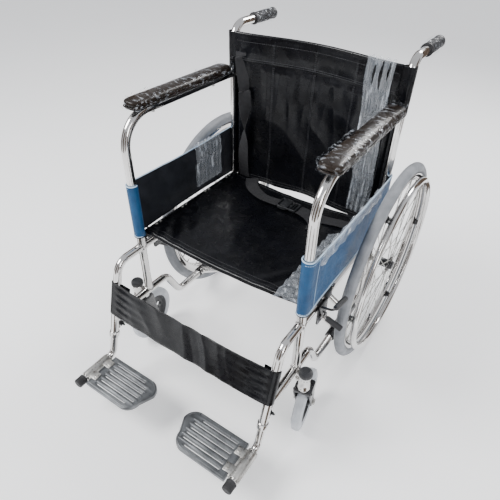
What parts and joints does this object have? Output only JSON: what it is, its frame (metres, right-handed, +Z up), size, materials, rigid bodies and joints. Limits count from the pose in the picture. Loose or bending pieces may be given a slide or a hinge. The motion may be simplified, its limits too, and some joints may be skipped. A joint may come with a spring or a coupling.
{
  "type": "manual wheelchair",
  "caption": "Folding manual wheelchair with tubular side frames, a scissor brace, sling seat and back, spoked rear wheels with handrims, swivel casters and flip-up footplates.",
  "frame": {"origin": "centre of the bounding box at floor level", "axes": "+X to the user's left, -Y forward, +Z up from the floor"},
  "size_m": [0.662, 1.0192, 0.8805],
  "materials": {
    "chrome": "polished",
    "zinc_steel": "satin",
    "cast_aluminium": "cast, satin",
    "black_plastic": "moulded",
    "grip_plastic": "moulded, ribbed",
    "pad_vinyl": "grained vinyl",
    "black_vinyl": "glossy coated fabric",
    "blue_panel": "coated fabric, satin",
    "grey_tyre": "solid PVC, matte",
    "caster_tyre": "solid PVC, satin",
    "black_rubber": "moulded",
    "webbing": "woven strap",
    "clear_film": "thin clear wrapping film, glossy"
  },
  "bodies": {
    "right_side_frame": {"right_rear_post": "chrome", "right_arm_tube": "chrome", "right_seat_rail": "chrome", "right_lower_frame": "chrome", "right_push_grip": "grip_plastic", "right_armrest_pad": "pad_vinyl", "right_side_panel": "blue_panel", "right_rear_axle": "zinc_steel", "right_caster_housing": "chrome", "right_caster_cap": "black_plastic", "right_brake_bracket": "black_plastic", "right_wing_bolt": "zinc_steel", "seat_sling": "black_vinyl", "back_sling": "black_vinyl", "calf_strap": "black_vinyl", "lap_belt": "webbing", "belt_buckle": "black_plastic"},
    "brace_a": {"brace_a": "chrome", "brace_pivot_bolt": "zinc_steel"},
    "brace_b": {"brace_b": "chrome"},
    "left_side_frame": {"left_rear_post": "chrome", "left_arm_tube": "chrome", "left_seat_rail": "chrome", "left_lower_frame": "chrome", "left_push_grip": "grip_plastic", "left_armrest_pad": "pad_vinyl", "left_side_panel": "blue_panel", "left_rear_axle": "zinc_steel", "left_caster_housing": "chrome", "left_caster_cap": "black_plastic", "left_brake_bracket": "black_plastic", "left_wing_bolt": "zinc_steel"},
    "right_rear_wheel": {"right_rear_tyre": "grey_tyre", "right_rear_rim": "chrome", "right_hub_and_spokes": "zinc_steel", "right_handrim": "chrome"},
    "right_caster_fork": {"right_caster_fork": "black_plastic", "right_caster_axle": "zinc_steel"},
    "right_caster_wheel": {"right_caster_wheel": "black_plastic", "right_caster_tyre": "caster_tyre"},
    "right_brake_lever": {"right_brake_lever": "black_plastic"},
    "right_brake_shoe": {"right_brake_shoe": "zinc_steel"},
    "right_footrest": {"right_footrest_tube": "chrome", "right_footrest_tip": "black_rubber"},
    "right_footplate": {"right_footplate": "cast_aluminium", "right_footplate_hinge": "zinc_steel"},
    "left_rear_wheel": {"left_rear_tyre": "grey_tyre", "left_rear_rim": "chrome", "left_hub_and_spokes": "zinc_steel", "left_handrim": "chrome"},
    "left_caster_fork": {"left_caster_fork": "black_plastic", "left_caster_axle": "zinc_steel"},
    "left_caster_wheel": {"left_caster_wheel": "black_plastic", "left_caster_tyre": "caster_tyre"},
    "left_brake_lever": {"left_brake_lever": "black_plastic"},
    "left_brake_shoe": {"left_brake_shoe": "zinc_steel"},
    "left_footrest": {"left_footrest_tube": "chrome", "left_footrest_tip": "black_rubber"},
    "left_footplate": {"left_footplate": "cast_aluminium", "left_footplate_hinge": "zinc_steel"}
  },
  "joints": [
    {"name": "frame_fold", "type": "hinge", "parent": "right_side_frame", "child": "brace_a", "pos_m": [-0.2456, 0.075, 0.138], "axis": [0, -1, 0], "range_deg": [0, 46.5], "deforming": ["seat_sling", "back_sling", "calf_strap", "lap_belt", "belt_buckle"]},
    {"name": "brace_pivot", "type": "hinge", "parent": "brace_a", "child": "brace_b", "pos_m": [0, 0.075, 0.28151], "axis": [0, -1, 0], "range_deg": [-93, 0]},
    {"name": "left_rail_hinge", "type": "hinge", "parent": "brace_b", "child": "left_side_frame", "pos_m": [0.2456, 0.075, 0.138], "axis": [0, -1, 0], "range_deg": [0, 46.5]},
    {"name": "right_rear_wheel_spin", "type": "hinge", "parent": "right_side_frame", "child": "right_rear_wheel", "pos_m": [-0.294, 0.208, 0.3016], "axis": [1, 0, 0], "continuous": true},
    {"name": "right_caster_swivel", "type": "hinge", "parent": "right_side_frame", "child": "right_caster_fork", "pos_m": [-0.28, -0.23, 0.2], "axis": [0, 0, 1], "continuous": true},
    {"name": "right_caster_spin", "type": "hinge", "parent": "right_caster_fork", "child": "right_caster_wheel", "pos_m": [-0.28463, -0.19228, 0.085], "axis": [0.9925, 0.1219, 0], "continuous": true},
    {"name": "right_brake_lever_turn", "type": "hinge", "parent": "right_side_frame", "child": "right_brake_lever", "pos_m": [-0.266, -0.15, 0.368], "axis": [1, 0, 0], "range_deg": [0, 75]},
    {"name": "right_brake_shoe_turn", "type": "hinge", "parent": "right_side_frame", "child": "right_brake_shoe", "pos_m": [-0.266, -0.128, 0.352], "axis": [1, 0, 0], "range_deg": [0, 7]},
    {"name": "right_footrest_height", "type": "slide", "parent": "right_side_frame", "child": "right_footrest", "axis": [0, -0.2696, -0.963], "range_m": [-0.03, 0.035]},
    {"name": "right_footplate_flip", "type": "hinge", "parent": "right_footrest", "child": "right_footplate", "pos_m": [-0.2456, -0.44, 0.104], "axis": [0, -1, 0], "range_deg": [0, 90]},
    {"name": "left_rear_wheel_spin", "type": "hinge", "parent": "left_side_frame", "child": "left_rear_wheel", "pos_m": [0.294, 0.208, 0.3016], "axis": [1, 0, 0], "continuous": true},
    {"name": "left_caster_swivel", "type": "hinge", "parent": "left_side_frame", "child": "left_caster_fork", "pos_m": [0.28, -0.23, 0.2], "axis": [0, 0, 1], "continuous": true},
    {"name": "left_caster_spin", "type": "hinge", "parent": "left_caster_fork", "child": "left_caster_wheel", "pos_m": [0.27275, -0.1927, 0.085], "axis": [0.9816, 0.1908, 0], "continuous": true},
    {"name": "left_brake_lever_turn", "type": "hinge", "parent": "left_side_frame", "child": "left_brake_lever", "pos_m": [0.266, -0.15, 0.368], "axis": [1, 0, 0], "range_deg": [0, 75]},
    {"name": "left_brake_shoe_turn", "type": "hinge", "parent": "left_side_frame", "child": "left_brake_shoe", "pos_m": [0.266, -0.128, 0.352], "axis": [1, 0, 0], "range_deg": [0, 7]},
    {"name": "left_footrest_height", "type": "slide", "parent": "left_side_frame", "child": "left_footrest", "axis": [0, -0.2696, -0.963], "range_m": [-0.03, 0.035]},
    {"name": "left_footplate_flip", "type": "hinge", "parent": "left_footrest", "child": "left_footplate", "pos_m": [0.2456, -0.44, 0.104], "axis": [0, 1, 0], "range_deg": [0, 90]}
  ],
  "couplings": [
    {"joint": "brace_pivot", "follows": "frame_fold", "ratio": -2},
    {"joint": "left_rail_hinge", "follows": "frame_fold", "ratio": 1},
    {"joint": "right_brake_shoe_turn", "follows": "right_brake_lever_turn", "ratio": 0.0933},
    {"joint": "right_footplate_flip", "follows": "frame_fold", "ratio": 1.935},
    {"joint": "left_brake_shoe_turn", "follows": "left_brake_lever_turn", "ratio": 0.0933},
    {"joint": "left_footplate_flip", "follows": "frame_fold", "ratio": 1.935}
  ]
}
